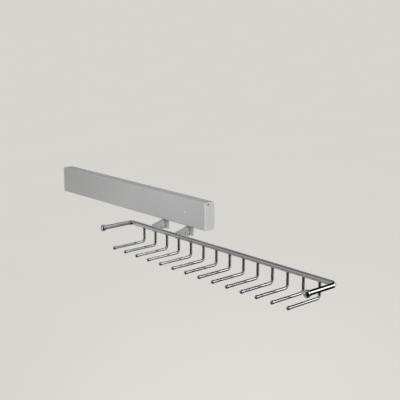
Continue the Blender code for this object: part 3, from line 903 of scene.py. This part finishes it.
def build_hanger(name):
    """A plate with one bend: a tall flange on the slide member and a sloping cheek below."""
    low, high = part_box(name)
    lug_low, lug_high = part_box(name.replace("hanger", "lug"))
    screw_low, screw_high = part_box(name.replace("hanger", "lug_screw"))
    bend_middle = Vector((low.x + PLATE_BEND, high.y - PLATE_BEND))
    cheek = bend_middle.y - low.y
    bend = (PLATE_BEND - PLATE / 2) * math.pi / 2
    total = cheek + bend + high.x - bend_middle.x
    rail_top = 2 * RAIL_Z - lug_low.z
    slope = (lug_high.z - rail_top) / (lug_high.y - RAIL_Y)
    cheek_top = rail_top + slope * (low.y - RAIL_Y)

    flat = outline([
        (0, low.z, 3 * MM),
        (total, low.z, 1.5 * MM),
        (total, high.z, 3 * MM),
        (cheek + bend, high.z, 1.5 * MM),
        (cheek + bend, lug_high.z, 0.8 * MM),
        (lug_high.y - low.y, lug_high.z, 1.5 * MM),
        (0, cheek_top, 2 * MM),
    ])
    holes = [circle(((screw_low.y + screw_high.y) / 2 - low.y, RAIL_Z), HOLE_RADIUS)]
    for level in ("upper", "lower"):
        first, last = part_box(f"{name}_{level}_screw")
        along = (first.x + last.x) / 2 - bend_middle.x
        holes.append(circle((cheek + bend + along, (first.z + last.z) / 2), HOLE_RADIUS))
    work = prism_mesh([flat, *holes], 0, PLATE)
    soften(work, 0.3 * MM, 3)
    cuts = 10
    for step in range(cuts + 1):
        bmesh.ops.bisect_plane(
            work,
            geom=work.verts[:] + work.edges[:] + work.faces[:],
            plane_co=(cheek + bend * step / cuts, 0, 0),
            plane_no=(1, 0, 0),
            dist=MERGE_DISTANCE,
        )

    # The flat plate is now bent: along runs over the cheek, round the bend, over the flange.
    for vert in work.verts:
        along, height, depth = vert.co
        if along < cheek:
            vert.co = (low.x + depth, low.y + along, height)
        elif along < cheek + bend:
            angle = math.pi / 2 * (along - cheek) / bend
            radius = PLATE_BEND - depth
            x = bend_middle.x - radius * math.cos(angle)
            y = bend_middle.y + radius * math.sin(angle)
            vert.co = (x, y, height)
        else:
            vert.co = (bend_middle.x + along - cheek - bend, high.y - depth, height)
    finish_piece(make_object(name, work), name)


def weld_bead(path, across):
    """A rippled bead along a path."""
    radii = []
    for index in range(len(path)):
        share = index / (len(path) - 1)
        taper = math.sin(math.pi * min(1.0, 0.12 + 0.76 * share + 0.06)) ** 0.35
        ripple = 1 + 0.10 * math.sin(index * 1.35)
        radii.append(0.62 * MM * taper * ripple)
    return loft("bead", bar_rings(path, radii, across, 16))


def build_lug(name):
    """A tapered flat bar on edge, saddled and welded onto the back of the rail."""
    low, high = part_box(name)
    rail_top = 2 * RAIL_Z - low.z
    saddle = TUBE_RADIUS + 0.05 * MM
    loop = outline([
        (RAIL_Y, rail_top, 0),
        (high.y, high.z, 2 * MM),
        (high.y, low.z, 3 * MM),
        (RAIL_Y, low.z, 0),
    ])
    loop += arc((RAIL_Y, RAIL_Z), saddle, -90, 90, 24)
    screw_low, screw_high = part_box(name + "_screw")
    hole = circle(((screw_low.y + screw_high.y) / 2, RAIL_Z), HOLE_RADIUS)
    lug = prism(name, "x", [loop, hole], low.x, high.x, edge=0.3 * MM, segments=3)
    bead_arc = arc((RAIL_Y, RAIL_Z), TUBE_RADIUS + 0.25 * MM, -84, 84, 40)
    for bead_x in (low.x + 0.1 * MM, high.x - 0.1 * MM):
        path = [Vector((bead_x, point.x, point.y)) for point in bead_arc]
        combine(lug, weld_bead(path, Vector((1, 0, 0))), "UNION")

    def near_weld(point):
        distance = math.hypot(point.y - RAIL_Y, point.z - RAIL_Z) - TUBE_RADIUS
        return max(0.0, 1 - distance / (2.5 * MM))

    finish_piece(lug, name, near_weld)


def cross(arm, width):
    """The outline of a plus sign."""
    return [
        (width, width), (width, arm), (-width, arm),
        (-width, width), (-arm, width), (-arm, -width),
        (-width, -width), (-width, -arm), (width, -arm),
        (width, -width), (arm, -width), (arm, width),
    ]


def threaded_screw(length, head_radius):
    """A pan-head screw with a cross recess, standing head up with its seat at the origin."""
    sides = 40
    steps_per_turn = 8
    start = -0.6 * MM
    end = -length + 0.5 * MM
    profile = [
        (0, HEAD_HEIGHT),
        (head_radius * 0.3, HEAD_HEIGHT * 0.985),
        (head_radius * 0.6, HEAD_HEIGHT * 0.92),
        (head_radius * 0.82, HEAD_HEIGHT * 0.75),
        (head_radius * 0.95, HEAD_HEIGHT * 0.5),
        (head_radius, HEAD_HEIGHT * 0.25),
        (head_radius, HEAD_HEIGHT * 0.06),
        (head_radius * 0.98, 0),
        (THREAD_RADIUS, 0),
        (THREAD_RADIUS, -0.5 * MM),
        (THREAD_ROOT, start),
    ]
    rings = turned_rings(profile, sides)
    steps = round((start - end) / THREAD_PITCH * steps_per_turn)
    for step in range(1, steps):
        height = start + (end - start) * step / steps
        ring = []
        for side in range(sides):
            phase = (height / THREAD_PITCH - side / sides) % 1.0
            crest = min(1.0, 1.35 * (1 - abs(2 * phase - 1)))
            radius = THREAD_ROOT + (THREAD_RADIUS - THREAD_ROOT) * crest
            angle = math.tau * side / sides
            ring.append(Vector((radius * math.cos(angle), radius * math.sin(angle), height)))
        rings.append(ring)
    rings += turned_rings([(THREAD_ROOT, end), (THREAD_ROOT * 0.75, -length), (0, -length)], sides)
    screw = loft("screw", rings)

    top = HEAD_HEIGHT + 0.2 * MM
    floor = HEAD_HEIGHT - 1.5 * MM
    wide_ring = [Vector((*point, top)) for point in cross(2.15 * MM, 0.46 * MM)]
    narrow_ring = [Vector((*point, floor)) for point in cross(0.95 * MM, 0.30 * MM)]
    return combine(screw, loft("recess", [wide_ring, narrow_ring]), "DIFFERENCE")


def build_screw(name, axis_matrix, seat):
    """A screw whose head stands along the turned Z axis. seat is where its head sits."""
    low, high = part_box(name)
    across, whole_length = sorted(high - low)[1:]
    head_radius = across / 2
    length = whole_length - HEAD_HEIGHT
    screw = threaded_screw(length, head_radius)
    place(screw, Matrix.Translation(seat) @ axis_matrix)
    finish_piece(screw, name)


def build_screws():
    for end in ("front", "rear"):
        for level in ("upper", "lower"):
            name = f"{end}_hanger_{level}_screw"
            low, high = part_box(name)
            seat = ((low.x + high.x) / 2, low.y + HEAD_HEIGHT, (low.z + high.z) / 2)
            build_screw(name, Matrix.Rotation(math.pi / 2, 4, "X"), seat)
        name = end + "_lug_screw"
        low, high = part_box(name)
        seat = (high.x - HEAD_HEIGHT, (low.y + high.y) / 2, (low.z + high.z) / 2)
        build_screw(name, Matrix.Rotation(math.pi / 2, 4, "Y"), seat)


def build_nut(name):
    """A hexagon nut with chamfered corners."""
    low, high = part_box(name)
    middle = (low + high) / 2
    half = (high.x - low.x) / 2
    corner = max((high.y - low.y) / 2, (high.z - low.z) / 2)
    hexagon = circle((0, 0), corner, 6)
    bore = circle((0, 0), THREAD_RADIUS + 0.05 * MM)
    nut = prism(name, "z", [hexagon, bore], -half, half, edge=0)

    # A cone at each face takes the corners off. It cuts the face inside the flats.
    wide = corner * 1.02
    narrow = corner * 0.66
    drop = 0.45 * MM
    profile = [(0, half + drop), (narrow, half + drop), (wide, half - drop)]
    profile += [(radius, -height) for radius, height in reversed(profile)]
    combine(nut, loft("chamfer", turned_rings(profile, 96)), "INTERSECT")
    place(nut, Matrix.Translation(middle) @ Matrix.Rotation(math.pi / 2, 4, "Y"))
    finish_piece(nut, name)


def build_frame_tube():
    """The U-shaped tube: the rail and its two arms."""
    rear_x = TUBE_LOW.x + TUBE_RADIUS
    front_x = TUBE_HIGH.x - TUBE_RADIUS
    longest_step = 8 * MM
    corners = [
        (rear_x, TUBE_LOW.y, RAIL_Z),
        (rear_x, RAIL_Y, RAIL_Z),
        (front_x, RAIL_Y, RAIL_Z),
        (front_x, TUBE_LOW.y, RAIL_Z),
    ]
    path = rounded_path(corners, TUBE_BEND, 20)
    fine_path = [path[0]]
    for start, point in zip(path, path[1:]):
        steps = max(1, math.ceil((point - start).length / longest_step))
        fine_path += [start.lerp(point, step / steps) for step in range(1, steps + 1)]
    radii = [TUBE_RADIUS] * len(fine_path)
    tube = loft("frame_tube", bar_rings(fine_path, radii, Vector((0, 0, 1)), 48))
    weld_xs = [middle_x(name) for name in HOOK_NAMES]

    def near_weld(point):
        if abs(point.y - RAIL_Y) > TUBE_RADIUS or point.z > RAIL_Z - TUBE_RADIUS / 2:
            return 0.0
        nearest = min(abs(point.x - x) for x in weld_xs)
        return max(0.0, 0.8 - nearest / (6 * MM))

    finish_piece(tube, "frame_tube", near_weld)


def build_knob(name):
    """A turned button with a collar and a domed face, on the end of an arm."""
    low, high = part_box(name)
    radius = (high.x - low.x) / 2
    length = high.y - low.y
    dome = 1.35 * MM
    edge = 0.55 * MM
    edge_middle = radius - edge
    face_edge = length - 0.95 * MM - edge
    back_edge = length * 0.56
    neck = radius * 0.60
    collar = radius * 0.8
    profile = [(0, length)]
    for angle in (0.2, 0.4, 0.6, 0.8, 0.95, 1.1):
        profile.append((radius * math.sin(angle), length - dome * (1 - math.cos(angle))))
    profile += arc((edge_middle, face_edge), edge, 55, 0, 6)
    profile += arc((edge_middle, back_edge), edge, 0, -90, 6)
    profile += [
        (neck + 0.3 * MM, back_edge - edge),
        (neck, back_edge - 0.85 * MM),
        (neck, length * 0.27),
        (neck + 0.25 * MM, length * 0.23),
        (collar - 0.3 * MM, length * 0.23),
        (collar, length * 0.19),
        (collar, 0.2 * MM),
        (collar - 0.2 * MM, 0),
        (0, 0),
    ]
    knob = loft(name, turned_rings(profile, 64))
    turn = Matrix.Rotation(math.pi / 2, 4, "X")
    place(knob, Matrix.Translation((middle_x(name), high.y, RAIL_Z)) @ turn)
    finish_piece(knob, name)


# The weld where a hook meets the rail, as (radius, distance below the rail's skin), and a
# hook's headed tip, as (distance along it, radius), all in millimetres.
WELD_FLARE = [
    (0.2, -0.3), (3.4, -0.15), (3.45, 0.08), (3.2, 0.22), (2.88, 0.48), (2.62, 0.85), (2.46, 1.3),
]
LUMPY_ABOVE = 2.7
HOOK_TIP = [
    (0, 2.65), (0.25, 2.9), (0.6, 3.0), (3.6, 3.0), (4.3, 2.92), (4.9, 2.65), (5.45, 2.1),
    (5.85, 1.25), (6.0, 0),
]


def build_hook(name):
    """An L-shaped wire: a weld onto the rail, a bend, a run and a headed tip."""
    low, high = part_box(name)
    x = middle_x(name)
    number = int(name[-2:])
    run_z = low.z + TIP_RADIUS
    sides = 32
    rings = []
    for radius, below in WELD_FLARE:
        ring = []
        for side in range(sides):
            angle = math.tau * side / sides
            lump = 1
            if radius > LUMPY_ABOVE:
                # Each weld is lumpy in its own way.
                lump += 0.035 * math.sin(3 * angle + 1.7 * number)
                lump += 0.02 * math.sin(7 * angle + number)
            reach = radius * MM * lump
            across = -reach * math.cos(angle)
            on_rail = min(abs(across), 0.97 * TUBE_RADIUS)
            top = RAIL_Z - math.sqrt(TUBE_RADIUS ** 2 - on_rail ** 2)
            ring.append(Vector((x + reach * math.sin(angle), RAIL_Y + across, top - below * MM)))
        rings.append(ring)

    tip_start = low.y + TIP_LENGTH
    below_weld = RAIL_Z - TUBE_RADIUS - 1.9 * MM
    corners = [(x, RAIL_Y, below_weld), (x, RAIL_Y, run_z), (x, tip_start, run_z)]
    path = rounded_path(corners, HOOK_BEND, 16)
    radii = [WIRE_RADIUS] * len(path)
    for along, radius in HOOK_TIP:
        path.append(Vector((x, tip_start - along * MM, run_z)))
        radii.append(radius * MM)
    rings += bar_rings(path, radii, Vector((1, 0, 0)), sides)
    hook = loft(name, rings)

    def near_weld(point):
        if point.y <= RAIL_Y - 5 * MM:
            return 0.0
        return max(0.0, 1 - (high.z - point.z) / (4 * MM))

    finish_piece(hook, name, near_weld)


def build_panel_side():
    build_cover()
    build_cover_plug()
    build_end_cap("front_end_cap", 1)
    build_end_cap("rear_end_cap", -1)
    build_wall_channel()
    build_stop_buffer("front_stop_buffer", 1)
    build_stop_buffer("rear_stop_buffer", -1)
    for number in (1, 2, 3):
        build_cover_clip(f"cover_clip_{number}")


def build_ball_rows():
    build_ball_cage("upper_ball_cage", 1)
    build_ball_cage("lower_ball_cage", -1)
    for name in BALL_NAMES:
        build_ball(name)


def build_rack():
    build_slide_member()
    build_screws()
    for end in ("front", "rear"):
        build_hanger(end + "_hanger")
        build_lug(end + "_lug")
        build_nut(end + "_lug_nut")
        build_knob(end + "_knob")
    build_frame_tube()
    for name in HOOK_NAMES:
        build_hook(name)


# The stage.

CAMERA_PLACE = (1.3263, -1.0191, 0.3743)
CAMERA_TURN = 48.37
CAMERA_DIP = 12.97
CAMERA_LENS = 81.3
FLOOR_Z = -1.0
FLOOR_RADIUS = 300.0
FLOOR_COLOUR = (0.90, 0.88, 0.83)
EVEN_LIGHT = 0.755
KEY_PLACE = (0.70, -0.70, 0.50)
KEY_TARGET = (0.13, -0.02, 0.00)
KEY_SIZE = 0.60
KEY_POWER = 0.70
KEY_BEAM = 40

# What shiny surfaces reflect, as soft round cards in the sky: direction, reach and softness
# in degrees, and colour. Later cards lie over earlier ones, and only glossy rays see them.
OPEN_SKY = (0.36, 0.36, 0.35)
CARDS = [
    ((-0.75, 0.60, 0.25), 50, 15, (0.26, 0.26, 0.26)),
    ((-0.70, -0.65, 0.05), 50, 12, (0.37, 0.37, 0.36)),
    ((-0.72, -0.64, -0.29), 13, 5, (0.18, 0.18, 0.18)),
    ((-0.84, -0.49, -0.24), 8, 3, (0.03, 0.03, 0.03)),
    ((-0.79, -0.56, -0.25), 4, 2, (1.60, 1.60, 1.60)),
    ((-0.70, -0.15, 0.70), 12, 4, (0.05, 0.05, 0.05)),
    ((0.00, 0.00, -1.00), 34, 6, (0.04, 0.04, 0.04)),
    ((0.45, 0.57, -0.68), 20, 5, (0.12, 0.12, 0.12)),
    ((0.00, 1.00, 0.00), 52, 1, (0.004, 0.004, 0.004)),
    ((0.00, 1.00, 0.00), 35, 3, (0.60, 0.60, 0.59)),
    ((0.58, 0.755, 0.31), 16, 2, (1.90, 1.90, 1.90)),
    ((0.742, 0.618, -0.256), 4, 2, (0.45, 0.45, 0.44)),
    ((0.85, -0.45, -0.30), 47, 8, (0.10, 0.10, 0.10)),
    ((0.22, -0.92, -0.30), 47, 4, (0.004, 0.004, 0.004)),
    ((0.00, 0.00, 1.00), 28, 6, (0.10, 0.10, 0.10)),
]


def build_floor():
    work = bmesh.new()
    bmesh.ops.create_circle(work, cap_ends=True, segments=96, radius=FLOOR_RADIUS)
    floor = make_object("floor", work)
    floor.location.z = FLOOR_Z

    def matt(tree):
        clouds = spread(tree, noise(tree, 1.5, 3), 0.0, 1.0)
        return {
            "Base Color": tint(tree, clouds, scaled(FLOOR_COLOUR, 0.99), FLOOR_COLOUR),
            "Roughness": 0.9,
            "Specular IOR Level": 0.0,
        }

    floor.data.materials.append(new_material("floor", matt))
    floor.visible_glossy = False


def build_world():
    """Even light for matt surfaces, a sky of soft cards for what shines, and a pale distance."""
    world = bpy.data.worlds.new("studio")
    bpy.context.scene.world = world
    world.use_nodes = True
    tree = world.node_tree
    tree.nodes.clear()
    direction = node(tree, "ShaderNodeTexCoord").outputs["Generated"]
    sky = OPEN_SKY
    for towards, reach, softness, colour in CARDS:
        facing = node(tree, "ShaderNodeVectorMath", {0: direction, 1: Vector(towards).normalized()},
                      operation="DOT_PRODUCT")
        card = node(tree, "ShaderNodeMapRange", {
            "Value": facing.outputs["Value"],
            "From Min": math.cos(math.radians(reach + softness)),
            "From Max": math.cos(math.radians(reach - softness)),
        }, interpolation_type="SMOOTHSTEP")
        sky = tint(tree, card.outputs["Result"], sky, colour)

    rays = node(tree, "ShaderNodeLightPath")
    even_colour = (EVEN_LIGHT, EVEN_LIGHT, EVEN_LIGHT, 1.0)
    far_colour = (*scaled(FLOOR_COLOUR, EVEN_LIGHT), 1.0)
    even = node(tree, "ShaderNodeBackground", {"Color": even_colour}).outputs[0]
    far = node(tree, "ShaderNodeBackground", {"Color": far_colour}).outputs[0]
    shine = node(tree, "ShaderNodeBackground", {"Color": sky}).outputs[0]
    seen = node(tree, "ShaderNodeMixShader",
                {0: rays.outputs["Is Camera Ray"], 1: even, 2: far}).outputs[0]
    both = node(tree, "ShaderNodeMixShader",
                {0: rays.outputs["Is Glossy Ray"], 1: seen, 2: shine}).outputs[0]
    node(tree, "ShaderNodeOutputWorld", {"Surface": both})


def area_light(name, place_at, target, size, power, beam):
    """A round soft light. beam is how wide it shines, in degrees."""
    data = bpy.data.lights.new(name, "AREA")
    data.shape = "DISK"
    data.size = size
    data.energy = power
    data.spread = math.radians(beam)
    light = bpy.data.objects.new(name, data)
    light.location = place_at
    aim = Vector(target) - Vector(place_at)
    light.rotation_euler = aim.to_track_quat("-Z", "Y").to_euler()
    light.visible_glossy = False
    bpy.context.scene.collection.objects.link(light)


def build_camera():
    data = bpy.data.cameras.new("camera")
    data.lens = CAMERA_LENS
    data.clip_end = 1000.0
    camera = bpy.data.objects.new("camera", data)
    camera.location = CAMERA_PLACE
    camera.rotation_euler = (math.radians(90 - CAMERA_DIP), 0, math.radians(CAMERA_TURN))
    bpy.context.scene.collection.objects.link(camera)
    bpy.context.scene.camera = camera


def build_stage():
    build_floor()
    build_world()
    area_light("key", KEY_PLACE, KEY_TARGET, KEY_SIZE, KEY_POWER, KEY_BEAM)
    build_camera()
    bpy.context.scene.view_settings.view_transform = "Standard"


build_panel_side()
build_ball_rows()
build_rack()
build_stage()
